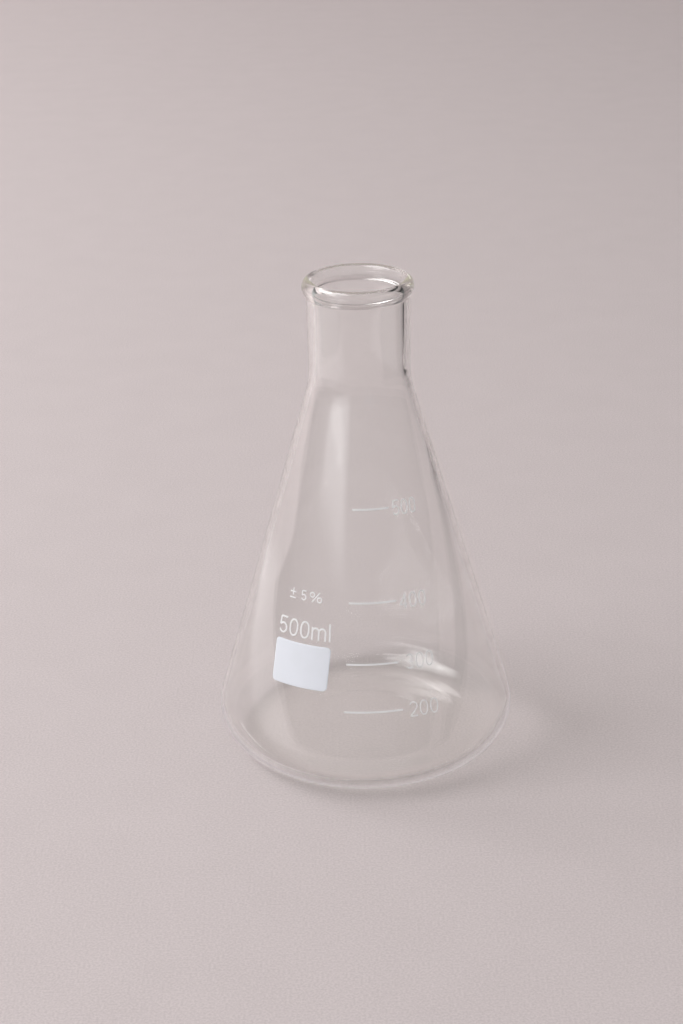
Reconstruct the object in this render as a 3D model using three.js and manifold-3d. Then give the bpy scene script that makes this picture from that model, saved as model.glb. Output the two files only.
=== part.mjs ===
// Erlenmeyer flask, 500 ml, narrow neck with a beaded rim.
// Millimetres, +Z up. The origin is the centre of the circle that the flask stands on.
// Azimuth 0 is the printed side, which faces -Y. Azimuths grow towards +X.

import * as THREE from 'three';
import { mergeVertices } from 'three/addons/utils/BufferGeometryUtils.js';
import Module from 'manifold-3d';

const wasm = await Module();
wasm.setup();

// Outside of the glass
const FLASK_HEIGHT = 170;
const BODY_RADIUS = 52.5;
const NECK_RADIUS = 17.25;
const HEEL_RADIUS = 13;
const CONE_TOP_HEIGHT = 134.6; // where the straight cone, carried on, would meet the neck
const SHOULDER_RADIUS = 33;
const RIM_CENTRE_RADIUS = 16.5;
const RIM_HALF_WIDTH = 2.25;
const RIM_HALF_HEIGHT = 2.9;

// Thickness of the glass
const CONE_WALL = 2;
const NECK_WALL = 2.4;
const FLOOR_THICKNESS = 2.9;
const INNER_HEEL_RADIUS = 10.5;

// Underside: a flat ring carries the flask, and the middle is pushed up
const FOOT_RING_WIDTH = 2.5;
const PUSH_UP = 2.4;
const CENTRE_DISC_RADIUS = 21;
const CENTRE_DISC_STEP = 0.3;
const CENTRE_DISC_EDGE = 1.6;

// Fired enamel
const ENAMEL_THICKNESS = 0.15;
const ENAMEL_GAP = 0.02; // keeps each print a solid of its own, clear of the glass
const ENAMEL_LOWEST = 20;
const ENAMEL_HIGHEST = 112;
const STENCIL_REACH = BODY_RADIUS + 5; // from the axis to beyond the enamel

// Facets
const TURN_FACETS = 72;
const RIM_STEPS = 12;
const HEEL_STEPS = 8;
const SHOULDER_STEPS = 4;
const FLOOR_STEPS = 2;
const ROUND_STEPS = 8;
const OVAL_STEPS = 20;
const OVAL_POWER = 0.86; // below 1 the sides of an oval flatten

const point = (radius, height) => new THREE.Vector2(radius, height);

function arc(centre, radius, startAngle, endAngle, steps) {
  const clockwise = endAngle < startAngle;
  const curve = new THREE.EllipseCurve(
    centre.x, centre.y, radius, radius, startAngle, endAngle, clockwise);
  return curve.getPoints(steps);
}

// ---- The cone: a straight line tangent to the heel that aims at the neck ----

const heelCentre = point(BODY_RADIUS - HEEL_RADIUS, HEEL_RADIUS);
const coneTop = point(NECK_RADIUS, CONE_TOP_HEIGHT);
const heelToTop = coneTop.clone().sub(heelCentre);
const coneTilt = heelToTop.angle() - Math.acos(HEEL_RADIUS / heelToTop.length());
const coneNormal = point(Math.cos(coneTilt), Math.sin(coneTilt));

// Radius at a height of the cone moved outwards along its normal by an offset.
function coneRadius(height, offset = 0) {
  const drop = coneTop.y - height;
  return coneTop.x + (offset + drop * coneNormal.y) / coneNormal.x;
}

// Height at which the cone, moved by an offset, reaches a radius.
function coneHeight(radius, offset = 0) {
  return coneTop.y - ((radius - coneTop.x) * coneNormal.x - offset) / coneNormal.y;
}

// Round that leads from the cone up into a cylinder of the given radius.
function shoulder(neckRadius, coneOffset, roundRadius) {
  const tangentLength = roundRadius * Math.tan(coneTilt / 2);
  const height = coneHeight(neckRadius, coneOffset) + tangentLength;
  const centre = point(neckRadius + roundRadius, height);
  return arc(centre, roundRadius, Math.PI + coneTilt, Math.PI, SHOULDER_STEPS);
}

// ---- The glass ----

// Shallow dome from the middle outwards, with the raised disc left by the mould.
function dome(edgeRadius, edgeHeight) {
  const sphereRadius = (edgeRadius ** 2 + PUSH_UP ** 2) / (2 * PUSH_UP);
  const capHeight = (radius) => {
    const drop = sphereRadius - Math.sqrt(sphereRadius ** 2 - radius ** 2);
    return edgeHeight + PUSH_UP - drop;
  };
  const points = [];
  for (let step = 0; step <= FLOOR_STEPS; step += 1) {
    const radius = (CENTRE_DISC_RADIUS * step) / FLOOR_STEPS;
    points.push(point(radius, capHeight(radius) + CENTRE_DISC_STEP));
  }
  const ringStart = CENTRE_DISC_RADIUS + CENTRE_DISC_EDGE;
  for (let step = 0; step <= FLOOR_STEPS; step += 1) {
    const radius = ringStart + ((edgeRadius - ringStart) * step) / FLOOR_STEPS;
    points.push(point(radius, capHeight(radius)));
  }
  return points;
}

function rimBead() {
  const centre = point(RIM_CENTRE_RADIUS, FLASK_HEIGHT - RIM_HALF_HEIGHT);
  const outerAngle = -Math.acos((NECK_RADIUS - RIM_CENTRE_RADIUS) / RIM_HALF_WIDTH);
  const boreOffset = (NECK_RADIUS - NECK_WALL - RIM_CENTRE_RADIUS) / RIM_HALF_WIDTH;
  const innerAngle = 2 * Math.PI - Math.acos(boreOffset);
  const bead = new THREE.EllipseCurve(
    centre.x, centre.y, RIM_HALF_WIDTH, RIM_HALF_HEIGHT, outerAngle, innerAngle);
  return bead.getPoints(RIM_STEPS);
}

function innerHeel() {
  const centreHeight = FLOOR_THICKNESS + INNER_HEEL_RADIUS;
  const centreRadius = coneRadius(centreHeight, -CONE_WALL - INNER_HEEL_RADIUS);
  return arc(point(centreRadius, centreHeight), INNER_HEEL_RADIUS, coneTilt, -Math.PI / 2, HEEL_STEPS);
}

function makeGlass() {
  const heel = arc(heelCentre, HEEL_RADIUS, -Math.PI / 2, coneTilt, HEEL_STEPS);
  const insideHeel = innerHeel();
  const insideFloor = dome(insideHeel.at(-1).x, FLOOR_THICKNESS).reverse();
  const profile = [
    ...dome(heelCentre.x - FOOT_RING_WIDTH, 0),
    ...heel,
    ...shoulder(NECK_RADIUS, 0, SHOULDER_RADIUS),
    ...rimBead(),
    ...shoulder(NECK_RADIUS - NECK_WALL, -CONE_WALL, SHOULDER_RADIUS + CONE_WALL).reverse(),
    ...insideHeel,
    ...insideFloor.slice(1),
  ];
  return new THREE.LatheGeometry(profile, TURN_FACETS).rotateX(Math.PI / 2);
}

// ---- Enamel ----

function toSolid(geometry) {
  const bare = geometry.index ? geometry.toNonIndexed() : geometry.clone();
  bare.deleteAttribute('normal');
  bare.deleteAttribute('uv');
  const merged = mergeVertices(bare);
  const vertProperties = new Float32Array(merged.attributes.position.array);
  const triVerts = new Uint32Array(merged.index.array);
  return new wasm.Manifold(new wasm.Mesh({ numProp: 3, vertProperties, triVerts }));
}

function toGeometry(solid) {
  const mesh = solid.getMesh();
  const geometry = new THREE.BufferGeometry();
  geometry.setAttribute('position', new THREE.BufferAttribute(mesh.vertProperties, 3));
  geometry.setIndex(new THREE.BufferAttribute(mesh.triVerts, 1));
  geometry.computeVertexNormals();
  return geometry;
}

// Thin cone-shaped skin just outside the glass. Every print is a piece cut out of it.
function enamelSkin() {
  const near = ENAMEL_GAP;
  const far = ENAMEL_GAP + ENAMEL_THICKNESS;
  const corners = [
    point(coneRadius(ENAMEL_LOWEST, near), ENAMEL_LOWEST),
    point(coneRadius(ENAMEL_LOWEST, far), ENAMEL_LOWEST),
    point(coneRadius(ENAMEL_HIGHEST, far), ENAMEL_HIGHEST),
    point(coneRadius(ENAMEL_HIGHEST, near), ENAMEL_HIGHEST),
    point(coneRadius(ENAMEL_LOWEST, near), ENAMEL_LOWEST),
  ];
  return toSolid(new THREE.LatheGeometry(corners, TURN_FACETS).rotateX(Math.PI / 2));
}

const skin = enamelSkin();

// Cuts flat outlines (x to the right, y up) out of the skin, as seen from outside at an azimuth.
// A positive lean turns them anticlockwise about their own origin.
function printOutlines(shapes, azimuth, height, lean = 0) {
  let stencil = null;
  for (const shape of shapes) {
    const prism = new THREE.ExtrudeGeometry(shape, { depth: STENCIL_REACH, bevelEnabled: false });
    prism.rotateZ(lean);
    prism.rotateX(Math.PI / 2);
    prism.rotateZ(azimuth);
    prism.translate(0, 0, height);
    const solid = toSolid(prism);
    stencil = stencil ? stencil.add(solid) : solid;
  }
  return toGeometry(stencil.intersect(skin));
}

// Outline of a pen stroke with square ends along a line of points.
function stroke(points, width) {
  const half = width / 2;
  const left = [];
  const right = [];
  points.forEach((here, index) => {
    const before = points[Math.max(index - 1, 0)];
    const after = points[Math.min(index + 1, points.length - 1)];
    const into = (index === 0 ? after.clone().sub(here) : here.clone().sub(before)).normalize();
    const out = (index === points.length - 1 ? into.clone() : after.clone().sub(here)).normalize();
    const normal = point(-into.y - out.y, into.x + out.x).normalize();
    const reach = half / normal.dot(point(-into.y, into.x));
    left.push(here.clone().addScaledVector(normal, reach));
    right.push(here.clone().addScaledVector(normal, -reach));
  });
  return new THREE.Shape([...left, ...right.reverse()]);
}

function arcStroke(centre, radiusX, radiusY, startAngle, endAngle, width) {
  const curve = new THREE.EllipseCurve(centre.x, centre.y, radiusX, radiusY, startAngle, endAngle, true);
  return stroke(curve.getPoints(ROUND_STEPS), width);
}

// Oval with slightly flattened sides, as on the digit 0.
function oval(centre, radiusX, radiusY) {
  const points = [];
  for (let step = 0; step < OVAL_STEPS; step += 1) {
    const angle = (2 * Math.PI * step) / OVAL_STEPS;
    const across = Math.sign(Math.cos(angle)) * Math.abs(Math.cos(angle)) ** OVAL_POWER;
    const up = Math.sign(Math.sin(angle)) * Math.abs(Math.sin(angle)) ** OVAL_POWER;
    points.push(point(centre.x + radiusX * across, centre.y + radiusY * up));
  }
  return points;
}

function ring(centre, radiusX, radiusY, pen) {
  const shape = new THREE.Shape(oval(centre, radiusX, radiusY));
  shape.holes.push(new THREE.Path(oval(centre, radiusX - pen, radiusY - pen)));
  return shape;
}

// Each character fills a box of the given width and height, with its lower left corner at 0, 0.
const OPEN_END = 0.86 * Math.PI; // where the open ends of 2, 3 and 5 stop on their round

const characters = {
  digit_0(width, height, pen) {
    return [ring(point(width / 2, height / 2), width / 2, height / 2, pen)];
  },

  digit_2(width, height, pen) {
    const half = pen / 2;
    const bowl = point(width / 2, height - width / 2);
    const reach = width / 2 - half;
    const curve = new THREE.EllipseCurve(
      bowl.x, bowl.y, reach, reach, OPEN_END, -0.2 * Math.PI, true);
    return [stroke([...curve.getPoints(ROUND_STEPS), point(pen, half), point(width, half)], pen)];
  },

  digit_3(width, height, pen) {
    const half = pen / 2;
    const waist = height * 0.52;
    const upperReach = (height - half - waist) / 2;
    const lowerReach = (waist - half) / 2;
    const upper = point(width * 0.48, waist + upperReach);
    const lower = point(width * 0.48, half + lowerReach);
    const side = width * 0.48 - half;
    return [
      arcStroke(upper, side * 0.92, upperReach, OPEN_END, -0.5 * Math.PI, pen),
      arcStroke(lower, side, lowerReach, 0.5 * Math.PI, -OPEN_END, pen),
    ];
  },

  digit_4(width, height, pen) {
    const half = pen / 2;
    const stem = width * 0.72;
    const bar = height * 0.27;
    return [
      stroke([point(stem, 0), point(stem, height)], pen),
      stroke([point(stem, height - pen), point(half, bar), point(width, bar)], pen),
    ];
  },

  digit_5(width, height, pen) {
    const half = pen / 2;
    const bowlReach = height * 0.32 - half;
    const bowl = point(width / 2, bowlReach + half);
    const side = width / 2 - half;
    const stemTop = point(width * 0.17, height - half);
    const stemFoot = point(width * 0.1, height * 0.46);
    return [
      stroke([point(width * 0.92, height - half), stemTop, stemFoot], pen),
      arcStroke(bowl, side, bowlReach, 0.8 * Math.PI, -OPEN_END, pen),
    ];
  },

  letter_m(width, height, pen) {
    const half = pen / 2;
    const arch = (width - pen) / 4;
    const spring = height - half - arch;
    const shapes = [stroke([point(half, 0), point(half, height)], pen)];
    for (const archCentre of [half + arch, half + 3 * arch]) {
      const curve = new THREE.EllipseCurve(archCentre, spring, arch, arch, Math.PI, 0, true);
      shapes.push(stroke([...curve.getPoints(ROUND_STEPS), point(archCentre + arch, 0)], pen));
    }
    return shapes;
  },

  upright(width, height, pen) {
    return [stroke([point(width / 2, 0), point(width / 2, height)], pen)];
  },

  bar(width, height, pen) {
    return [stroke([point(0, pen / 2), point(width, pen / 2)], pen)];
  },

  plus(width, height, pen) {
    return [
      stroke([point(0, height / 2), point(width, height / 2)], pen),
      stroke([point(width / 2, 0), point(width / 2, height)], pen),
    ];
  },

  slash(width, height, pen) {
    return [stroke([point(0, 0), point(width, height)], pen)];
  },
};

// ---- What is printed, and where ----

const DEGREE = Math.PI / 180;

// Spot to write on
const SPOT_WIDTH = 21.5;
const SPOT_HEIGHT = 14.5;
const SPOT_CORNER = 1.4;
const SPOT_AZIMUTH = -30.6 * DEGREE;
const SPOT_MIDDLE = 45.6;
const SPOT_LEAN = 1.2 * DEGREE;

// Scale: one line for each volume in millilitres, with its number to the right.
// Angles are azimuths in degrees. The type gets wider as the cone does.
const SCALE_PEN = 0.62;
const SCALE = [
  { volume: '500', height: 98.3, lineStart: -6.6, lineEnd: 18.4, numberStart: 20.6, pitch: 3.3 },
  { volume: '400', height: 68.1, lineStart: -7.7, lineEnd: 17.1, numberStart: 18.7, pitch: 3.6 },
  { volume: '300', height: 48.1, lineStart: -8.4, lineEnd: 15, numberStart: 18.5, pitch: 3.75 },
  { volume: '200', height: 32.4, lineStart: -8.9, lineEnd: 15.3, numberStart: 17.8, pitch: 3.95 },
];
const NUMBER_HEIGHT = 5.1;
const NUMBER_PEN = 0.44;
const NUMBER_DROP = 0.25; // how far the number's middle starts below its line
const NUMBER_LEAN = -3 * DEGREE;
const DIGIT_WIDTH = 0.78; // of the pitch

// Capacity above the spot
const CAPACITY_BASELINE = 54.3;
const CAPACITY_START = -45.4 * DEGREE;
const CAPACITY_HEIGHT = 5.8;
const CAPACITY_WIDTH = 3.6;
const CAPACITY_PITCH = 4.6;
const CAPACITY_PEN = 0.56;
const LETTER_M_WIDTH = 5.4;
const LETTER_M_HEIGHT = 4.3;
const LETTER_GAP = 1;

// Tolerance of the scale, above the capacity
const TOLERANCE_BASELINE = 66.7;
const TOLERANCE_START = -42 * DEGREE;
const TOLERANCE_HEIGHT = 3.4;
const TOLERANCE_DIGIT_WIDTH = 2;
const TOLERANCE_PEN = 0.38;
const TOLERANCE_GAP = 2.3;
const SIGN_WIDTH = 2.5;
const PERCENT_WIDTH = 2.8;
const PERCENT_RING_RADIUS = 0.95;

const LEFT_LEAN = 1.8 * DEGREE; // of the capacity and the tolerance

const group = new THREE.Group();
const glassMaterial = new THREE.MeshStandardMaterial({
  color: 0xe9eeea, roughness: 0.03, metalness: 0, transparent: true, opacity: 0.35 });
const enamelMaterial = new THREE.MeshStandardMaterial({ color: 0xe4e5ee, roughness: 0.45, metalness: 0 });

function addMesh(name, geometry, material) {
  const mesh = new THREE.Mesh(geometry, material);
  mesh.name = name;
  group.add(mesh);
}

function shiftShape(shape, right, up) {
  const move = (points) => points.map((corner) => point(corner.x + right, corner.y + up));
  const moved = new THREE.Shape(move(shape.getPoints()));
  moved.holes = shape.holes.map((hole) => new THREE.Path(move(hole.getPoints())));
  return moved;
}

// A row of characters: where its left edge and baseline are, and how it leans.
// Each character stands upright at its own place round the cone.
function addCharacter(name, row, shapes, width, distance) {
  const middle = distance + width / 2;
  const azimuth = row.start + middle / coneRadius(row.baseline);
  const height = row.baseline + middle * Math.tan(row.lean);
  const centred = shapes.map((shape) => shiftShape(shape, -width / 2, 0));
  addMesh(name, printOutlines(centred, azimuth, height, row.lean), enamelMaterial);
}

function addMarkingSpot() {
  const right = SPOT_WIDTH / 2 - SPOT_CORNER;
  const top = SPOT_HEIGHT / 2 - SPOT_CORNER;
  const quarter = Math.PI / 2;
  const centres = [point(right, -top), point(right, top), point(-right, top), point(-right, -top)];
  const outline = centres.flatMap((centre, corner) => (
    arc(centre, SPOT_CORNER, (corner - 1) * quarter, corner * quarter, ROUND_STEPS / 2)));
  const geometry = printOutlines([new THREE.Shape(outline)], SPOT_AZIMUTH, SPOT_MIDDLE, SPOT_LEAN);
  addMesh('marking_spot', geometry, enamelMaterial);
}

function addScaleLine({ volume, height, lineStart, lineEnd }) {
  const middle = ((lineStart + lineEnd) / 2) * DEGREE;
  const halfAngle = ((lineEnd - lineStart) / 2) * DEGREE;
  const halfLength = coneRadius(height) * Math.sin(halfAngle);
  const line = stroke([point(-halfLength, 0), point(halfLength, 0)], SCALE_PEN);
  addMesh(`scale_line_${volume}`, printOutlines([line], middle, height), enamelMaterial);
}

function addScaleNumber({ volume, height, numberStart, pitch }) {
  const width = DIGIT_WIDTH * pitch;
  const row = {
    start: numberStart * DEGREE,
    baseline: height - NUMBER_DROP - NUMBER_HEIGHT / 2,
    lean: NUMBER_LEAN,
  };
  [...volume].forEach((digit, place) => {
    const shapes = characters[`digit_${digit}`](width, NUMBER_HEIGHT, NUMBER_PEN);
    addCharacter(`scale_${volume}_place_${place + 1}_digit_${digit}`, row, shapes, width, place * pitch);
  });
}

function addCapacity() {
  const row = { start: CAPACITY_START, baseline: CAPACITY_BASELINE, lean: LEFT_LEAN };
  const digit = (name, draw, place) => {
    const shapes = draw(CAPACITY_WIDTH, CAPACITY_HEIGHT, CAPACITY_PEN);
    addCharacter(name, row, shapes, CAPACITY_WIDTH, place * CAPACITY_PITCH);
  };
  digit('capacity_digit_5', characters.digit_5, 0);
  digit('capacity_digit_0_left', characters.digit_0, 1);
  digit('capacity_digit_0_right', characters.digit_0, 2);
  const letterM = characters.letter_m(LETTER_M_WIDTH, LETTER_M_HEIGHT, CAPACITY_PEN);
  const startM = 3 * CAPACITY_PITCH;
  addCharacter('capacity_letter_m', row, letterM, LETTER_M_WIDTH, startM);
  const letterL = characters.upright(CAPACITY_PEN, CAPACITY_HEIGHT, CAPACITY_PEN);
  addCharacter('capacity_letter_l', row, letterL, CAPACITY_PEN, startM + LETTER_M_WIDTH + LETTER_GAP);
}

function addTolerance() {
  const row = { start: TOLERANCE_START, baseline: TOLERANCE_BASELINE, lean: LEFT_LEAN };
  const pen = TOLERANCE_PEN;
  const raised = (shapes, height) => (
    shapes.map((shape) => shiftShape(shape, 0, TOLERANCE_HEIGHT - height)));
  addCharacter('tolerance_minus', row, characters.bar(SIGN_WIDTH, pen, pen), SIGN_WIDTH, 0);
  const plus = raised(characters.plus(SIGN_WIDTH, SIGN_WIDTH, pen), SIGN_WIDTH);
  addCharacter('tolerance_plus', row, plus, SIGN_WIDTH, 0);
  const digitStart = SIGN_WIDTH + TOLERANCE_GAP;
  const digit = characters.digit_5(TOLERANCE_DIGIT_WIDTH, TOLERANCE_HEIGHT, pen);
  addCharacter('tolerance_digit_5', row, digit, TOLERANCE_DIGIT_WIDTH, digitStart);
  const slashStart = digitStart + TOLERANCE_DIGIT_WIDTH + TOLERANCE_GAP;
  const slash = characters.slash(PERCENT_WIDTH, TOLERANCE_HEIGHT, pen);
  addCharacter('percent_slash', row, slash, PERCENT_WIDTH, slashStart);
  const size = 2 * PERCENT_RING_RADIUS;
  const lowerStart = slashStart + PERCENT_WIDTH - PERCENT_RING_RADIUS;
  const upperStart = slashStart - PERCENT_RING_RADIUS;
  addCharacter('percent_ring_lower', row, characters.digit_0(size, size, pen), size, lowerStart);
  const upperRing = raised(characters.digit_0(size, size, pen), size);
  addCharacter('percent_ring_upper', row, upperRing, size, upperStart);
}

addMesh('flask_glass', makeGlass(), glassMaterial);
addMarkingSpot();
SCALE.forEach(addScaleLine);
SCALE.forEach(addScaleNumber);
addCapacity();
addTolerance();

export default group;
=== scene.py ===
"""Looks of a 500 ml Erlenmeyer flask: clear blown glass with a fired enamel scale.

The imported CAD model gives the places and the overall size. Everything is in metres in the CAD frame:
the origin is the centre of the standing circle and the printed side faces -Y. Azimuth 0 is the
printed side and azimuths grow towards +X.
"""

import math

import bmesh
import bpy
import numpy as np
from mathutils import Matrix, Vector, noise


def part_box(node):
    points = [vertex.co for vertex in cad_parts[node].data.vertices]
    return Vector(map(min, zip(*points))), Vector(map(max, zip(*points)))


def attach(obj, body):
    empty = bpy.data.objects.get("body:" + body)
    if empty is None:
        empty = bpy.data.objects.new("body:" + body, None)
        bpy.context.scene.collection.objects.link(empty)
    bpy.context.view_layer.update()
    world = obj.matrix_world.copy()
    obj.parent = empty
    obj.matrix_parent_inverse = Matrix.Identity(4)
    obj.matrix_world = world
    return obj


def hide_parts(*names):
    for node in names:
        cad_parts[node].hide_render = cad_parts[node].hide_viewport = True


MM = 0.001
DEGREE = math.pi / 180

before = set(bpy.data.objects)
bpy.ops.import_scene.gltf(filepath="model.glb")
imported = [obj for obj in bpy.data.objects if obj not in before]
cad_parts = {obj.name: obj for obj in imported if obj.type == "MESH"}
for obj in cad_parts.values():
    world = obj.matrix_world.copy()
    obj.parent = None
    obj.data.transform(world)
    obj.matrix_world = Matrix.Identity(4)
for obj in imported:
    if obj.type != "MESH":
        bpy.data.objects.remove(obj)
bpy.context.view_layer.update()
glass_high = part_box("flask_glass")[1]

# ---- Outside of the glass ----

FLASK_HEIGHT = glass_high.z
BODY_RADIUS = glass_high.x
NECK_RADIUS = 17.25 * MM
HEEL_RADIUS = 13 * MM
CONE_TOP_HEIGHT = 134.6 * MM  # where the straight cone, carried on, would meet the neck
SHOULDER_RADIUS = 33 * MM
RIM_CENTRE_RADIUS = 16.5 * MM
RIM_HALF_WIDTH = 2.25 * MM
RIM_HALF_HEIGHT = 2.9 * MM

# ---- Thickness of the glass ----

CONE_WALL = 2 * MM
NECK_WALL = 2.4 * MM
FLOOR_THICKNESS = 2.9 * MM
INNER_HEEL_RADIUS = 10.5 * MM

# ---- Underside ----

FOOT_RING_WIDTH = 2.5 * MM
PUSH_UP = 2.4 * MM
CENTRE_DISC_RADIUS = 21 * MM
CENTRE_DISC_STEP = 0.15 * MM
CENTRE_DISC_EDGE = 1.5 * MM

# ---- Fineness of the glass mesh ----

TURN_SEGMENTS = 240
DRAFT_STEP = 0.1 * MM
FILLET_REACH = 0.4 * MM  # how far fire polishing softens each corner of the profile
LONGEST_STEP = 2.6 * MM
SHARPEST_TURN = 6 * DEGREE


def point(radius, height):
    return np.array((radius, height))


def arc(centre, radius_across, radius_up, start, end):
    length = abs(end - start) * max(radius_across, radius_up)
    angles = np.linspace(start, end, 2 + int(length / DRAFT_STEP))
    return centre + np.stack((radius_across * np.cos(angles), radius_up * np.sin(angles)), axis=1)


# ---- The cone: a straight line tangent to the heel that aims at the neck ----

heel_centre = point(BODY_RADIUS - HEEL_RADIUS, HEEL_RADIUS)
cone_top = point(NECK_RADIUS, CONE_TOP_HEIGHT)
heel_to_top = cone_top - heel_centre
cone_tilt = math.atan2(heel_to_top[1], heel_to_top[0]) - math.acos(HEEL_RADIUS / np.hypot(*heel_to_top))


def cone_radius(height, offset=0.0):
    """Radius at a height of the cone moved outwards along its normal by an offset."""
    return cone_top[0] + (offset + (cone_top[1] - height) * math.sin(cone_tilt)) / math.cos(cone_tilt)


def cone_height(radius, offset=0.0):
    """Height at which the cone, moved by an offset, reaches a radius."""
    return cone_top[1] - ((radius - cone_top[0]) * math.cos(cone_tilt) - offset) / math.sin(cone_tilt)


# ---- Profile of the glass, from the middle of the underside round to the middle of the floor ----


def shoulder(neck_radius, cone_offset, round_radius):
    tangent_length = round_radius * math.tan(cone_tilt / 2)
    height = cone_height(neck_radius, cone_offset) + tangent_length
    centre = point(neck_radius + round_radius, height)
    return arc(centre, round_radius, round_radius, math.pi + cone_tilt, math.pi)


def dome(edge_radius, edge_height):
    """Shallow dome from the middle outwards, with the raised disc left by the mould."""
    sphere_radius = (edge_radius**2 + PUSH_UP**2) / (2 * PUSH_UP)
    radii = np.arange(0, edge_radius, DRAFT_STEP)
    drop = sphere_radius - np.sqrt(sphere_radius**2 - radii**2)
    on_disc = 0.5 - 0.5 * np.tanh((radii - CENTRE_DISC_RADIUS) / CENTRE_DISC_EDGE)
    return np.stack((radii, edge_height + PUSH_UP - drop + CENTRE_DISC_STEP * on_disc), axis=1)


def rim_bead():
    centre = point(RIM_CENTRE_RADIUS, FLASK_HEIGHT - RIM_HALF_HEIGHT)
    outer_angle = -math.acos((NECK_RADIUS - RIM_CENTRE_RADIUS) / RIM_HALF_WIDTH)
    bore_offset = (NECK_RADIUS - NECK_WALL - RIM_CENTRE_RADIUS) / RIM_HALF_WIDTH
    inner_angle = 2 * math.pi - math.acos(bore_offset)
    return arc(centre, RIM_HALF_WIDTH, RIM_HALF_HEIGHT, outer_angle, inner_angle)


def inner_heel():
    height = FLOOR_THICKNESS + INNER_HEEL_RADIUS
    radius = cone_radius(height, -CONE_WALL - INNER_HEEL_RADIUS)
    return arc(point(radius, height), INNER_HEEL_RADIUS, INNER_HEEL_RADIUS, cone_tilt, -math.pi / 2)


def walk(points):
    """The same line with points at every draft step along it."""
    lengths = np.hypot(*np.diff(points, axis=0).T)
    distance = np.concatenate(((0,), np.cumsum(lengths)))
    steps = np.linspace(0, distance[-1], int(distance[-1] / DRAFT_STEP))
    return np.stack([np.interp(steps, distance, points[:, axis]) for axis in (0, 1)], axis=1)


def soften(points):
    """Rounds the corners of a line with a moving average, and keeps its two ends."""
    half = int(3 * FILLET_REACH / DRAFT_STEP)
    offsets = np.arange(-half, half + 1) * DRAFT_STEP
    weights = np.exp(-0.5 * (offsets / FILLET_REACH) ** 2)
    weights /= weights.sum()
    padded = np.pad(points, ((half, half), (0, 0)), mode="reflect", reflect_type="odd")
    smooth = np.stack([np.convolve(padded[:, axis], weights, "valid") for axis in (0, 1)], axis=1)
    smooth[0], smooth[-1] = points[0], points[-1]
    return smooth


def thin_out(points):
    """Keeps few points on straight stretches and many on tight rounds."""
    steps = np.diff(points, axis=0)
    lengths = np.hypot(*steps.T)
    headings = np.unwrap(np.arctan2(steps[:, 1], steps[:, 0]))
    turns = np.abs(np.diff(headings, append=headings[-1]))
    cost = np.cumsum(lengths / LONGEST_STEP + turns / SHARPEST_TURN)
    marks = np.arange(1, int(cost[-1]))
    kept = np.searchsorted(cost, marks) + 1
    return np.concatenate((points[:1], points[kept], points[-1:]))


def glass_profile():
    heel = arc(heel_centre, HEEL_RADIUS, HEEL_RADIUS, -math.pi / 2, cone_tilt)
    inside_heel = inner_heel()
    inside_neck = shoulder(NECK_RADIUS - NECK_WALL, -CONE_WALL, SHOULDER_RADIUS + CONE_WALL)
    pieces = [
        dome(heel_centre[0] - FOOT_RING_WIDTH, 0),
        heel,
        shoulder(NECK_RADIUS, 0, SHOULDER_RADIUS),
        rim_bead(),
        inside_neck[::-1],
        inside_heel,
        dome(inside_heel[-1, 0], FLOOR_THICKNESS)[::-1],
    ]
    return thin_out(soften(walk(np.concatenate(pieces))))


# ---- Unevenness of blown glass ----

RIPPLES_ROUND = 9  # fine ripples down the walls, from the blowing mould
RIPPLE_LENGTH = 60 * MM
RIPPLE_DEPTH = 0.022 * MM
SWELLS_ROUND = 1.3
SWELL_LENGTH = 35 * MM
SWELL_DEPTH = 0.16 * MM
SWELL_NOISE_START = 5  # keeps the swells apart from the ripples in the noise
OUTSIDE_SHARE = 0.18  # the mould keeps the outside truer than the inside
STILL_HEIGHT = 6 * MM  # below this the foot stays true


def unevenness(across, along, height, inside):
    """How far a point of the wall moves outwards, for a direction (across, along) round the axis."""
    ripple = noise.noise(Vector((across * RIPPLES_ROUND, along * RIPPLES_ROUND, height / RIPPLE_LENGTH)))
    swell_height = SWELL_NOISE_START + height / SWELL_LENGTH
    swell = noise.noise(Vector((across * SWELLS_ROUND, along * SWELLS_ROUND, swell_height)))
    share = 1 if inside else OUTSIDE_SHARE
    fade = min(1, max(0, height / STILL_HEIGHT - 1))
    return share * fade * (ripple * RIPPLE_DEPTH + swell * SWELL_DEPTH)


def mesh_object(name, bm, material):
    bmesh.ops.recalc_face_normals(bm, faces=bm.faces)
    mesh = bpy.data.meshes.new(name)
    bm.to_mesh(mesh)
    bm.free()
    mesh.shade_smooth()
    mesh.materials.append(material)
    obj = bpy.data.objects.new(name, mesh)
    bpy.context.scene.collection.objects.link(obj)
    return obj


def make_glass(material):
    profile = glass_profile()
    top = int(np.argmax(profile[:, 1]))
    bm = bmesh.new()
    rings = []
    for index, (radius, height) in enumerate(profile[1:-1], start=1):
        ring = []
        for segment in range(TURN_SEGMENTS):
            angle = 2 * math.pi * segment / TURN_SEGMENTS
            across, along = math.cos(angle), math.sin(angle)
            reach = radius + unevenness(across, along, height, index > top)
            ring.append(bm.verts.new((reach * across, reach * along, height)))
        rings.append(ring)
    for lower, upper in zip(rings, rings[1:]):
        for segment in range(TURN_SEGMENTS):
            following = (segment + 1) % TURN_SEGMENTS
            bm.faces.new((lower[segment], lower[following], upper[following], upper[segment]))
    for ring, height in ((rings[0], profile[0, 1]), (rings[-1], profile[-1, 1])):
        middle = bm.verts.new((0, 0, height))
        for segment in range(TURN_SEGMENTS):
            bm.faces.new((middle, ring[segment], ring[(segment + 1) % TURN_SEGMENTS]))
    return mesh_object("glass_body", bm, material)


# ---- Enamel: pen strokes laid on the cone ----

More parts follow.
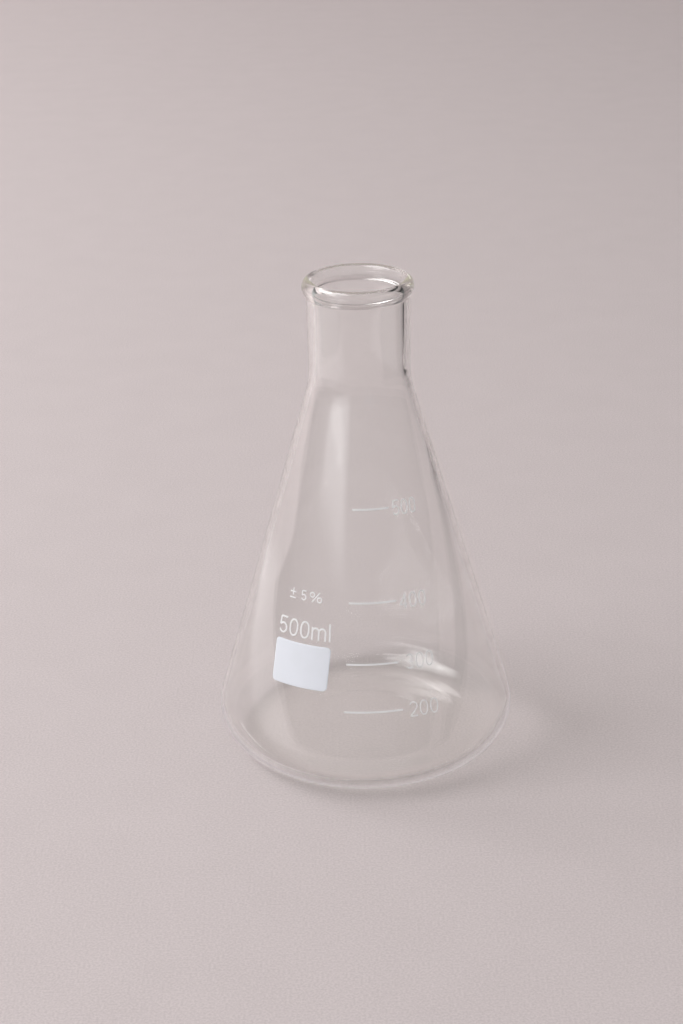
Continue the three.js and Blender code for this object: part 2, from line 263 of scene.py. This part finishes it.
ENAMEL_THICKNESS = 0.05 * MM
ENAMEL_ROOT = 0.03 * MM  # how deep the fired enamel is fused into the glass
CORNER_SHARE = 0.55  # rounding of a stroke's corner, in pen widths
CORNER_STEPS = 5
LONGEST_PEN_STEP = 0.9 * MM
STROKE_SECTION = ((-0.5, 0.4), (-0.38, 0.92), (0, 1), (0.38, 0.92), (0.5, 0.4))  # across, up
END_TAPER = 0.12  # length of a stroke's rounded end, in pen widths
END_SHRINK = 0.8
LAYER_STEP = 0.04  # a stroke that crosses an earlier one lies this share lower
OPEN_END = 0.86 * math.pi  # where the open ends of 2, 3 and 5 stop on their round
OVAL_POWER = 0.86  # below 1 the sides of an oval flatten
OVAL_STEPS = 40
ROUND_STEPS = 20


def cone_place(azimuth, height, lean):
    """Returns a function that lays a flat point (right, up) with a lift onto the cone."""

    def place(right, up, lift):
        turned_right = right * math.cos(lean) - up * math.sin(lean)
        turned_up = right * math.sin(lean) + up * math.cos(lean)
        level = height + turned_up
        radius = cone_radius(level, lift)
        angle = azimuth + math.asin(turned_right / radius)
        return Vector((radius * math.sin(angle), -radius * math.cos(angle), level))

    return place


def pen_line(corners, pen):
    """Straight pen strokes through the corners, each corner slightly rounded."""
    corners = [np.array(corner, float) for corner in corners]
    points = [corners[0]]
    for before, corner, after in zip(corners, corners[1:], corners[2:]):
        start = corner + (before - corner) / np.hypot(*(before - corner)) * pen * CORNER_SHARE
        end = corner + (after - corner) / np.hypot(*(after - corner)) * pen * CORNER_SHARE
        for share in np.linspace(0, 1, CORNER_STEPS):
            points.append((1 - share) ** 2 * start + 2 * share * (1 - share) * corner + share**2 * end)
    points.append(corners[-1])
    fine = [points[0]]
    for before, after in zip(points, points[1:]):
        parts = max(1, math.ceil(np.hypot(*(after - before)) / LONGEST_PEN_STEP))
        fine += [before + (after - before) * (part + 1) / parts for part in range(parts)]
    return fine


def pen_arc(centre, radius_across, radius_up, start, end):
    angles = np.linspace(start, end, ROUND_STEPS)
    return [np.array((centre[0] + radius_across * math.cos(a), centre[1] + radius_up * math.sin(a)))
            for a in angles]


def pen_oval(width, height, pen):
    points = []
    for step in range(OVAL_STEPS):
        angle = 2 * math.pi * step / OVAL_STEPS
        across = math.copysign(abs(math.cos(angle)) ** OVAL_POWER, math.cos(angle))
        up = math.copysign(abs(math.sin(angle)) ** OVAL_POWER, math.sin(angle))
        points.append(np.array((
            width / 2 + (width - pen) / 2 * across,
            height / 2 + (height - pen) / 2 * up)))
    return points


# Each character is a list of (points, closed) in a box whose lower left corner is 0, 0.


def digit_0(width, height, pen):
    return [(pen_oval(width, height, pen), True)]


def digit_2(width, height, pen):
    reach = (width - pen) / 2
    bowl = (width / 2, height - width / 2)
    curve = pen_arc(bowl, reach, reach, OPEN_END, -0.2 * math.pi)
    foot = pen_line([curve[-1], (pen, pen / 2), (width, pen / 2)], pen)
    return [(curve[:-1] + foot, False)]


def digit_3(width, height, pen):
    half = pen / 2
    waist = 0.52 * height
    middle = 0.48 * width
    upper_reach = (height - half - waist) / 2
    lower_reach = (waist - half) / 2
    lower_side = middle - half
    upper_side = 0.92 * lower_side
    upper = pen_arc((middle, waist + upper_reach), upper_side, upper_reach, OPEN_END, -0.5 * math.pi)
    lower = pen_arc((middle, half + lower_reach), lower_side, lower_reach, 0.5 * math.pi, -OPEN_END)
    return [(upper, False), (lower, False)]


def digit_4(width, height, pen):
    stem = 0.72 * width
    bar = 0.27 * height
    upright = pen_line([(stem, 0), (stem, height)], pen)
    slant = pen_line([(stem, height - pen), (pen / 2, bar), (width, bar)], pen)
    return [(upright, False), (slant, False)]


def digit_5(width, height, pen):
    half = pen / 2
    reach = 0.32 * height - half
    flag_end = (0.92 * width, height - half)
    flag_start = (0.17 * width, height - half)
    stem_foot = (0.1 * width, 0.46 * height)
    top = pen_line([flag_end, flag_start, stem_foot], pen)
    bowl = pen_arc((width / 2, reach + half), width / 2 - half, reach, 0.8 * math.pi, -OPEN_END)
    return [(top, False), (bowl, False)]


def letter_m(width, height, pen):
    half = pen / 2
    arch = (width - pen) / 4
    spring = height - half - arch
    strokes = [(pen_line([(half, 0), (half, height)], pen), False)]
    for middle in (half + arch, half + 3 * arch):
        curve = pen_arc((middle, spring), arch, arch, math.pi, 0)
        strokes.append((curve + pen_line([curve[-1], (middle + arch, 0)], pen)[1:], False))
    return strokes


def upright_stroke(width, height, pen):
    return [(pen_line([(width / 2, 0), (width / 2, height)], pen), False)]


def level_stroke(width, height, pen):
    return [(pen_line([(0, height / 2), (width, height / 2)], pen), False)]


def plus_sign(width, height, pen):
    return level_stroke(width, height, pen) + upright_stroke(width, height, pen)


def slash(width, height, pen):
    return [(pen_line([(0, 0), (width, height)], pen), False)]


def add_stroke(bm, points, closed, pen, thickness, place, centre):
    """Sweeps the stroke section along the points and closes its ends."""
    count = len(points)
    rows = []

    def add_row(middle, across, width_share, height_share):
        row = []
        for side, up in STROKE_SECTION:
            spot = middle + across * pen * side * width_share - centre
            row.append(bm.verts.new(place(spot[0], spot[1], thickness * up * height_share)))
        for side in (0.5, -0.5):
            spot = middle + across * pen * side * width_share - centre
            row.append(bm.verts.new(place(spot[0], spot[1], -ENAMEL_ROOT)))
        rows.append(row)

    for index, here in enumerate(points):
        before = points[index - 1] if closed or index else here
        after = points[(index + 1) % count] if closed or index < count - 1 else here
        heading = (after - before) / np.hypot(*(after - before))
        across = np.array((-heading[1], heading[0]))
        first, last = not closed and index == 0, not closed and index == count - 1
        if first:
            add_row(here, across, END_SHRINK, END_SHRINK / 2)
            add_row(here + heading * pen * END_TAPER, across, 1, 1)
        elif last:
            add_row(here - heading * pen * END_TAPER, across, 1, 1)
            add_row(here, across, END_SHRINK, END_SHRINK / 2)
        else:
            add_row(here, across, 1, 1)
    following_rows = rows[1:] + rows[:1] if closed else rows[1:]
    for one, other in zip(rows, following_rows):
        for corner in range(len(one)):
            following = (corner + 1) % len(one)
            bm.faces.new((one[corner], one[following], other[following], other[corner]))
    if not closed:
        bm.faces.new(rows[0][::-1])
        bm.faces.new(rows[-1])


def box_place(node, lean):
    """Where a printed node is on the cone, from its CAD box."""
    low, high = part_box(node)
    middle = (low + high) / 2
    return cone_place(math.atan2(middle.x, -middle.y), middle.z, lean)


def make_character(node, draw, width, height, pen, lean, material):
    centre = np.array((width / 2, height / 2))
    place = box_place(node, lean)
    bm = bmesh.new()
    for layer, (points, closed) in enumerate(draw(width, height, pen)):
        thickness = ENAMEL_THICKNESS * (1 - LAYER_STEP * layer)
        add_stroke(bm, points, closed, pen, thickness, place, centre)
    finish_print(mesh_object("enamel_" + node, bm, material), node)


def finish_print(obj, node):
    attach(obj, "root")
    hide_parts(node)


# ---- What is printed ----

SPOT_WIDTH = 21.5 * MM
SPOT_HEIGHT = 14.5 * MM
SPOT_CORNER = 1.4 * MM
SPOT_LEAN = 1.2 * DEGREE
SPOT_RINGS = 14
SPOT_SIDE_STEPS = 24
SPOT_EDGE = 0.25 * MM
SPOT_EDGE_LIFT = 0.3  # of the enamel's thickness

SCALE_PEN = 0.62 * MM
NUMBER_HEIGHT = 5.1 * MM
NUMBER_PEN = 0.46 * MM
NUMBER_LEAN = -3 * DEGREE
DIGIT_WIDTH = 0.78  # of the pitch
SCALE_PITCH = {"500": 3.3 * MM, "400": 3.6 * MM, "300": 3.75 * MM, "200": 3.95 * MM}

LEFT_LEAN = 1.8 * DEGREE  # of the capacity and the tolerance
CAPACITY_HEIGHT = 5.8 * MM
CAPACITY_WIDTH = 3.6 * MM
CAPACITY_PEN = 0.58 * MM
LETTER_M_WIDTH = 5.4 * MM
LETTER_M_HEIGHT = 4.3 * MM
TOLERANCE_HEIGHT = 3.4 * MM
TOLERANCE_DIGIT_WIDTH = 2 * MM
TOLERANCE_PEN = 0.4 * MM
SIGN_WIDTH = 2.5 * MM
PERCENT_WIDTH = 2.8 * MM
PERCENT_RING = 1.9 * MM

DIGITS = {"0": digit_0, "2": digit_2, "3": digit_3, "4": digit_4, "5": digit_5}


def spot_outline():
    """Rounded rectangle about 0, 0, as many points on each side."""
    right = SPOT_WIDTH / 2 - SPOT_CORNER
    top = SPOT_HEIGHT / 2 - SPOT_CORNER
    centres = [(right, -top), (right, top), (-right, top), (-right, -top)]
    points = []
    for corner, centre in enumerate(centres):
        turn = pen_arc(centre, SPOT_CORNER, SPOT_CORNER, (corner - 1) * math.pi / 2, corner * math.pi / 2)
        points += turn
        next_centre = centres[(corner + 1) % len(centres)]
        angle = corner * math.pi / 2
        side_end = np.array(next_centre) + SPOT_CORNER * np.array((math.cos(angle), math.sin(angle)))
        for step in range(1, SPOT_SIDE_STEPS):
            points.append(turn[-1] + (side_end - turn[-1]) * step / SPOT_SIDE_STEPS)
    return points


def make_marking_spot(material):
    outline = spot_outline()
    place = box_place("marking_spot", SPOT_LEAN)
    bm = bmesh.new()
    edge_share = 1 - SPOT_EDGE / (SPOT_HEIGHT / 2)
    shares = [1] + list(np.linspace(edge_share, 1 / SPOT_RINGS, SPOT_RINGS))
    rings = [[bm.verts.new(place(*corner, -ENAMEL_ROOT)) for corner in outline]]
    for index, share in enumerate(shares):
        lift = ENAMEL_THICKNESS * (SPOT_EDGE_LIFT if index == 0 else 1)
        rings.append([bm.verts.new(place(*(corner * share), lift)) for corner in outline])
    root = [[bm.verts.new(place(*(corner * share), -ENAMEL_ROOT)) for corner in outline]
            for share in shares[1:]]
    rings = root[::-1] + rings
    for inner, outer in zip(rings, rings[1:]):
        for corner in range(len(outline)):
            following = (corner + 1) % len(outline)
            bm.faces.new((inner[corner], inner[following], outer[following], outer[corner]))
    bm.faces.new(rings[0])
    bm.faces.new(rings[-1])
    finish_print(mesh_object("enamel_marking_spot", bm, material), "marking_spot")


def make_scale(material):
    for volume, pitch in SCALE_PITCH.items():
        line = "scale_line_" + volume
        low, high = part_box(line)
        middle = (low + high) / 2
        length = math.hypot(high.x - low.x, high.y - low.y)
        make_character(line, level_stroke, length, SCALE_PEN, SCALE_PEN, 0, material)
        for place, digit in enumerate(volume, start=1):
            node = f"scale_{volume}_place_{place}_digit_{digit}"
            make_character(
                node, DIGITS[digit], DIGIT_WIDTH * pitch, NUMBER_HEIGHT, NUMBER_PEN, NUMBER_LEAN, material)


def make_capacity(material):
    for node, draw in (
        ("capacity_digit_5", digit_5),
        ("capacity_digit_0_left", digit_0),
        ("capacity_digit_0_right", digit_0),
    ):
        make_character(node, draw, CAPACITY_WIDTH, CAPACITY_HEIGHT, CAPACITY_PEN, LEFT_LEAN, material)
    make_character(
        "capacity_letter_m", letter_m, LETTER_M_WIDTH, LETTER_M_HEIGHT, CAPACITY_PEN, LEFT_LEAN, material)
    make_character(
        "capacity_letter_l", upright_stroke, CAPACITY_PEN, CAPACITY_HEIGHT, CAPACITY_PEN, LEFT_LEAN, material)


def make_tolerance(material):
    pen = TOLERANCE_PEN
    for node, draw, width, height in (
        ("tolerance_minus", level_stroke, SIGN_WIDTH, pen),
        ("tolerance_plus", plus_sign, SIGN_WIDTH, SIGN_WIDTH),
        ("tolerance_digit_5", digit_5, TOLERANCE_DIGIT_WIDTH, TOLERANCE_HEIGHT),
        ("percent_slash", slash, PERCENT_WIDTH, TOLERANCE_HEIGHT),
        ("percent_ring_lower", digit_0, PERCENT_RING, PERCENT_RING),
        ("percent_ring_upper", digit_0, PERCENT_RING, PERCENT_RING),
    ):
        make_character(node, draw, width, height, pen, LEFT_LEAN, material)


# ---- Materials ----


class Graph:
    """Shader nodes of one material, world or light."""

    def __init__(self, owner):
        owner.use_nodes = True
        self.tree = owner.node_tree
        self.tree.nodes.clear()

    def add(self, kind, inputs=None, **settings):
        """Adds a node, sets its settings and feeds its inputs from values or other nodes' sockets."""
        node = self.tree.nodes.new("ShaderNode" + kind)
        for name, value in settings.items():
            setattr(node, name, value)
        for name, value in (inputs or {}).items():
            if isinstance(value, bpy.types.NodeSocket):
                self.tree.links.new(value, node.inputs[name])
            else:
                node.inputs[name].default_value = value
        return node

    def math(self, operation, *values):
        return self.add("Math", dict(enumerate(values)), operation=operation).outputs[0]

    def spread(self, value, low, high, new_low, new_high):
        """Maps a value from one range to another, and stops at the ends."""
        inputs = {"Value": value, "From Min": low, "From Max": high, "To Min": new_low, "To Max": new_high}
        return self.add("MapRange", inputs).outputs["Result"]

    def blend(self, one, other, share_of_one):
        return self.math(
            "ADD", self.math("MULTIPLY", one, share_of_one), self.math("MULTIPLY", other, 1 - share_of_one))

    def seen_bent(self):
        """1 for a ray that glass reflected or bent, 0 for one that went straight through both walls."""
        ray = self.add("LightPath")
        reflected = self.math("GREATER_THAN", ray.outputs["Glossy Depth"], 0.5)
        one_wall = self.math("LESS_THAN", ray.outputs["Transmission Depth"], 3.5)
        return self.math("MAXIMUM", reflected, one_wall)


GLASS_IOR = 1.474
GLASS_TINT = (0.7, 0.9, 0, 1)  # what long ways through the glass leave of the light
GLASS_DENSITY = 2
HAZE_SCALE = 60
HAZE_ROUGHNESS = 0.03
MOST_BOUNCES = 9  # light trapped in the wall for longer is replaced by an even painted glow
# painted light: colour of the glow that the glass gives off, higher up, in place of trapped light
RIM_PAINTED_GLOW = (0.45, 0.39, 0.39, 1)
HEEL_PAINTED_GLOW = (0.58, 0.51, 0.56, 1)  # painted glow near the lit floor
GRAZING_SHADE = 0.5
HEEL_SHADE = 0.3  # grazing shade at the foot, for a darker contact shadow
FACING_SHADE = 0.995
FACING_BLEND = 0.3
SLANT_WALL = 0.5  # share of the normal that points up or down
LYING_WALL = 0.9


def glass_material():
    material = bpy.data.materials.new("borosilicate_glass")
    graph = Graph(material)
    place = graph.add("TexCoord").outputs["Object"]
    haze = graph.add("TexNoise", {"Vector": place, "Scale": HAZE_SCALE, "Detail": 4}).outputs["Fac"]
    roughness = graph.spread(haze, 0.45, 0.75, 0, HAZE_ROUGHNESS)
    glass = graph.add("BsdfPrincipled", {
        "Base Color": (1, 1, 1, 1),
        "Transmission Weight": 1,
        "IOR": GLASS_IOR,
        "Roughness": roughness,
    })
    facing = graph.add("LayerWeight", {"Blend": FACING_BLEND}).outputs["Facing"]
    height = graph.add("SeparateXYZ", {0: place}).outputs["Z"]
    grazing_shade = graph.spread(height, 0, 3 * HEEL_RADIUS, HEEL_SHADE, GRAZING_SHADE)
    wall_shade = graph.spread(facing, 0.2, 1, FACING_SHADE, grazing_shade)
    lean = graph.add("SeparateXYZ", {0: graph.add("NewGeometry").outputs["Normal"]}).outputs["Z"]
    lying = graph.spread(graph.math("ABSOLUTE", lean), SLANT_WALL, LYING_WALL, 0, 1)
    shade = graph.math("MAXIMUM", wall_shade, lying)
    shade_colour = graph.add("CombineColor", {"Red": shade, "Green": shade, "Blue": shade})
    clear = graph.add("BsdfTransparent", {"Color": shade_colour.outputs[0]})
    ray = graph.add("LightPath")
    straight = graph.math("MAXIMUM", ray.outputs["Is Shadow Ray"], ray.outputs["Is Diffuse Ray"])
    passing = graph.add("MixShader", {0: straight, 1: glass.outputs[0], 2: clear.outputs[0]})
    # painted light: rays trapped past MOST_BOUNCES end in an emission instead of going on
    trapped = graph.math("GREATER_THAN", ray.outputs["Ray Depth"], MOST_BOUNCES)
    painted_glow_colour = graph.add("Mix", {
        "Factor": graph.spread(height, HEEL_RADIUS, 3 * HEEL_RADIUS, 0, 1),
        "A": HEEL_PAINTED_GLOW,
        "B": RIM_PAINTED_GLOW,
    }, data_type="RGBA")
    painted_glow = graph.add("Emission", {"Color": painted_glow_colour.outputs["Result"]})
    surface = graph.add("MixShader", {0: trapped, 1: passing.outputs[0], 2: painted_glow.outputs[0]})
    body = graph.add("VolumeAbsorption", {"Color": GLASS_TINT, "Density": GLASS_DENSITY})
    graph.add("OutputMaterial", {"Surface": surface.outputs[0], "Volume": body.outputs[0]})
    return material


PRINT_COLOUR = (0.34, 0.333, 0.336, 1)
PRINT_THIN_COLOUR = (0.322, 0.315, 0.318, 1)
# painted light: strength of the glow of the prints' enamel, which is no lamp
PRINT_PAINTED_GLOW = 1.28
SPOT_COLOUR = (0.32, 0.325, 0.35, 1)
SPOT_THIN_COLOUR = (0.31, 0.315, 0.337, 1)
# painted light: strength of the glow of the spot's enamel, which is no lamp
SPOT_PAINTED_GLOW = 1.24
ENAMEL_GRAIN = 3500
ENAMEL_GRAIN_SHARE = 0.4
ENAMEL_CLOUD = 160
ENAMEL_BUMP = 0.02 * MM
ENAMEL_LETS_THROUGH = (0.7, 0.7, 0.7, 1)  # of the light, at each of its two faces


def enamel_material(name, full_colour, thin_colour, glow):
    """White enamel with a fine grain, mostly lit by a painted glow.

    The glow is painted light: an emission that stands for light that reaches it through the glass from
    behind. It suits this studio: in darker light it has to go down, and the colours up.
    darker light it has to go down, and the colours up.
    """
    material = bpy.data.materials.new(name)
    graph = Graph(material)
    place = graph.add("TexCoord").outputs["Object"]
    grain = graph.add("TexNoise", {"Vector": place, "Scale": ENAMEL_GRAIN, "Detail": 3}).outputs["Fac"]
    cloud = graph.add("TexNoise", {"Vector": place, "Scale": ENAMEL_CLOUD, "Detail": 3}).outputs["Fac"]
    cover = graph.blend(grain, cloud, ENAMEL_GRAIN_SHARE)
    colour = graph.add("Mix", {
        "Factor": graph.spread(cover, 0.35, 0.6, 0, 1),
        "A": thin_colour,
        "B": full_colour,
    }, data_type="RGBA")
    bump = graph.add("Bump", {"Strength": 0.25, "Distance": ENAMEL_BUMP, "Height": grain})
    enamel = graph.add("BsdfPrincipled", {
        "Base Color": colour.outputs["Result"],
        "Roughness": graph.spread(cover, 0.3, 0.7, 0.36, 0.55),
        # painted light: the enamel's own colour glows as emission
        "Emission Color": colour.outputs["Result"],
        "Emission Strength": glow,
        "Normal": bump.outputs["Normal"],
    })
    clear = graph.add("BsdfTransparent", {"Color": ENAMEL_LETS_THROUGH})
    shadow = graph.add("LightPath").outputs["Is Shadow Ray"]
    surface = graph.add("MixShader", {0: shadow, 1: enamel.outputs[0], 2: clear.outputs[0]})
    graph.add("OutputMaterial", {"Surface": surface.outputs[0]})
    return material


# ---- Stage ----

PAPER_COLOUR = (0.66, 0.585, 0.583, 1)
PAPER_DARK_COLOUR = (0.565, 0.498, 0.496, 1)
PAPER_HALF_WIDTH = 3
PAPER_FRONT = -1.5
PAPER_BEND = 1.9
PAPER_BEND_RADIUS = 0.8
PAPER_TOP = 2.6
PAPER_BEND_STEPS = 24
PAPER_GRAIN = 1300
PAPER_GRAIN_SHARE = 0.88
PAPER_CLOUD = 40
PAPER_BUMP = 0.2 * MM


def paper_material():
    material = bpy.data.materials.new("studio_paper")
    graph = Graph(material)
    place = graph.add("TexCoord").outputs["Object"]
    grain = graph.add("TexNoise", {"Vector": place, "Scale": PAPER_GRAIN, "Detail": 2}).outputs["Fac"]
    cloud = graph.add("TexNoise", {"Vector": place, "Scale": PAPER_CLOUD, "Detail": 4}).outputs["Fac"]
    tone = graph.blend(grain, cloud, PAPER_GRAIN_SHARE)
    colour = graph.add("Mix", {
        "Factor": graph.spread(tone, 0.35, 0.65, 0, 1),
        "A": PAPER_DARK_COLOUR,
        "B": PAPER_COLOUR,
    }, data_type="RGBA")
    bump = graph.add("Bump", {"Strength": 0.2, "Distance": PAPER_BUMP, "Height": grain})
    paper = graph.add("BsdfPrincipled", {
        "Base Color": colour.outputs["Result"],
        "Roughness": 0.85,
        "Normal": bump.outputs["Normal"],
    })
    graph.add("OutputMaterial", {"Surface": paper.outputs[0]})
    return material


def make_paper():
    """Paper sweep: a floor that bends up into a wall behind the flask."""
    bend = [(PAPER_BEND + PAPER_BEND_RADIUS * math.sin(angle), PAPER_BEND_RADIUS * (1 - math.cos(angle)))
            for angle in np.linspace(0, math.pi / 2, PAPER_BEND_STEPS)]
    line = [(PAPER_FRONT, 0)] + bend + [(PAPER_BEND + PAPER_BEND_RADIUS, PAPER_TOP)]
    bm = bmesh.new()
    rows = [[bm.verts.new((side * PAPER_HALF_WIDTH, depth, height)) for side in (-1, 1)]
            for depth, height in line]
    for near, far in zip(rows, rows[1:]):
        bm.faces.new((near[0], near[1], far[1], far[0]))
    mesh_object("paper_sweep", bm, paper_material())


ROOM_LIGHT_SIDE = (-1, 0, 0)
ROOM_BRIGHT = 0.75
ROOM_DIM = 0.1
ROOM_LOW = 0.3  # what glass sees of the room at floor level
LOW_END = 0.01  # how high a direction points where the low part ends
WALL_START = 0.12
WALL_END = 0.3
CEILING_SHARE = 0.3
ROOM_BEHIND = 0.55  # what the camera sees of it beyond the paper


def make_world():
    """Room with one light side, a dimmer ceiling and a dim line at floor level."""
    world = bpy.data.worlds.new("studio_room")
    bpy.context.scene.world = world
    graph = Graph(world)
    direction = graph.add("TexCoord").outputs["Generated"]
    side = graph.add("VectorMath", {0: direction, 1: ROOM_LIGHT_SIDE}, operation="DOT_PRODUCT")
    walls = graph.spread(side.outputs["Value"], -1, 1, ROOM_DIM, ROOM_BRIGHT)
    height = graph.add("SeparateXYZ", {0: direction}).outputs["Z"]
    ceiling = graph.spread(height, WALL_END, 1, 1, CEILING_SHARE)
    floor_line = graph.spread(height, LOW_END, WALL_START, ROOM_LOW, 1)
    strength = graph.math("MULTIPLY", graph.math("MULTIPLY", walls, ceiling), floor_line)
    seen = graph.add("LightPath").outputs["Is Camera Ray"]
    strength = graph.spread(seen, 0, 1, strength, ROOM_BEHIND)
    room = graph.add("Background", {"Strength": strength})
    graph.add("OutputWorld", {"Surface": room.outputs[0]})


def around(azimuth, distance, height):
    """A place at an azimuth and distance from the flask."""
    return Vector((distance * math.sin(azimuth), -distance * math.cos(azimuth), height))


def make_light(name, place, target, width, height, radiance, soft_edge, lights_paper):
    """Area light that fades over a share of its size towards each edge.

    It lights the paper without being seen, or it's only seen as a reflection in glass.
    """
    data = bpy.data.lights.new(name, "AREA")
    data.shape = "RECTANGLE"
    data.size = width
    data.size_y = height
    data.energy = radiance * math.pi * width * height
    graph = Graph(data)
    across = graph.add("SeparateXYZ", {"Vector": graph.add("NewGeometry").outputs["Parametric"]})
    brightness = 1
    for axis in ("X", "Y"):
        from_edge = graph.math("SUBTRACT", 0.5, graph.math(
            "ABSOLUTE", graph.math("SUBTRACT", across.outputs[axis], 0.5)))
        ramp = graph.add("MapRange", {
            "Value": from_edge, "From Min": 0, "From Max": soft_edge}, interpolation_type="SMOOTHSTEP")
        brightness = graph.math("MULTIPLY", brightness, ramp.outputs["Result"])
    if not lights_paper:
        brightness = graph.math("MULTIPLY", brightness, graph.seen_bent())
    glow = graph.add("Emission", {"Strength": brightness})
    graph.add("OutputLight", {"Surface": glow.outputs[0]})
    light = bpy.data.objects.new(name, data)
    light.location = place
    light.rotation_mode = "QUATERNION"
    light.rotation_quaternion = (target - place).to_track_quat("-Z", "Y")
    light.visible_camera = False
    light.visible_diffuse = lights_paper
    light.visible_glossy = not lights_paper
    light.visible_transmission = not lights_paper
    bpy.context.scene.collection.objects.link(light)
    return light


CARD_COLOUR = (0.01, 0.01, 0.01, 1)
CARD_HEIGHT = 3 * MM


def make_flag(name, left, right, near, far):
    """Black card that lies beside the picture, so that the glass has something dark to show."""
    material = bpy.data.materials.new(name)
    graph = Graph(material)
    card = graph.add("BsdfPrincipled", {"Base Color": CARD_COLOUR, "Roughness": 0.9})
    nothing = graph.add("BsdfTransparent")
    surface = graph.add("MixShader", {0: graph.seen_bent(), 1: nothing.outputs[0], 2: card.outputs[0]})
    graph.add("OutputMaterial", {"Surface": surface.outputs[0]})
    bm = bmesh.new()
    corners = [(left, near), (right, near), (right, far), (left, far)]
    bm.faces.new([bm.verts.new((*corner, CARD_HEIGHT)) for corner in corners])
    flag = mesh_object(name, bm, material)
    flag.visible_camera = False
    flag.visible_shadow = False
    flag.visible_diffuse = False


def make_lights():
    foot = Vector((0, 0, 0.05))
    neck = Vector((0, 0, 0.2))
    make_light(
        "main_softbox", around(-78 * DEGREE, 2.2, 1.8), Vector((0, 0, 0.08)),
        width=2, height=2, radiance=8.05, soft_edge=0.2, lights_paper=True)
    make_light(
        "back_softbox", around(-116 * DEGREE, 3.5, 2.2), Vector((0, 0.5, 0)),
        width=2, height=2, radiance=10, soft_edge=0.2, lights_paper=True)
    make_light(
        "top_softbox", around(-88 * DEGREE, 1.0, 1.95), foot,
        width=1.8, height=1.6, radiance=6.4, soft_edge=0.2, lights_paper=False)
    make_light(
        "front_softbox", around(-58 * DEGREE, 1.5, 1.2), foot,
        width=1.1, height=0.8, radiance=3, soft_edge=0.3, lights_paper=False)
    make_light(
        "wide_softbox", around(-44 * DEGREE, 0.95, 0.31), neck,
        width=1.0, height=0.3, radiance=1.45, soft_edge=0.28, lights_paper=False)
    make_light(
        "strip_softbox", around(-46 * DEGREE, 0.9, 0.275), neck,
        width=0.7, height=0.07, radiance=1.1, soft_edge=0.3, lights_paper=False)
    make_light(
        "far_panel", around(167 * DEGREE, 2.6, 0.68), Vector((0, 0, 0.03)),
        width=0.9, height=0.4, radiance=1.4, soft_edge=0.3, lights_paper=False)
    sheet = make_light(
        "side_sheet", Vector((-0.42, -0.06, 0.002)), neck,
        width=0.5, height=0.68, radiance=0.5, soft_edge=0.15, lights_paper=False)
    sheet.rotation_mode = "XYZ"
    sheet.rotation_euler = (math.pi, 0, 0)  # it lies on the paper and shines up
    make_flag("left_flag", left=-2.9, right=-0.62, near=-1.4, far=0.15)
    make_flag("right_flag", left=0.335, right=0.62, near=-0.32, far=0.42)


# ---- Camera ----

CAMERA_PLACE = Vector((0, -0.6197, 0.3554))
CAMERA_DOWN = 23.53 * DEGREE
CAMERA_LEFT = 0.66 * DEGREE
CAMERA_ROLL = 1.35 * DEGREE
CAMERA_LENS = 68.37  # for a 36 mm sensor along the picture's long side


def make_camera():
    data = bpy.data.cameras.new("camera")
    data.lens = CAMERA_LENS
    data.sensor_width = 36
    data.clip_start = 0.01
    camera = bpy.data.objects.new("camera", data)
    aim = Matrix.Rotation(CAMERA_LEFT, 4, "Z") @ Matrix.Rotation(math.pi / 2 - CAMERA_DOWN, 4, "X")
    camera.matrix_world = Matrix.Translation(CAMERA_PLACE) @ aim @ Matrix.Rotation(-CAMERA_ROLL, 4, "Z")
    bpy.context.scene.collection.objects.link(camera)
    bpy.context.scene.camera = camera


glass = make_glass(glass_material())
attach(glass, "root")
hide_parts("flask_glass")
print_enamel = enamel_material("print_enamel", PRINT_COLOUR, PRINT_THIN_COLOUR, PRINT_PAINTED_GLOW)
make_marking_spot(enamel_material("spot_enamel", SPOT_COLOUR, SPOT_THIN_COLOUR, SPOT_PAINTED_GLOW))
make_scale(print_enamel)
make_capacity(print_enamel)
make_tolerance(print_enamel)
make_paper()
make_world()
make_lights()
make_camera()
bpy.context.scene.view_settings.view_transform = "Standard"
bpy.context.scene.cycles.glossy_bounces = 12
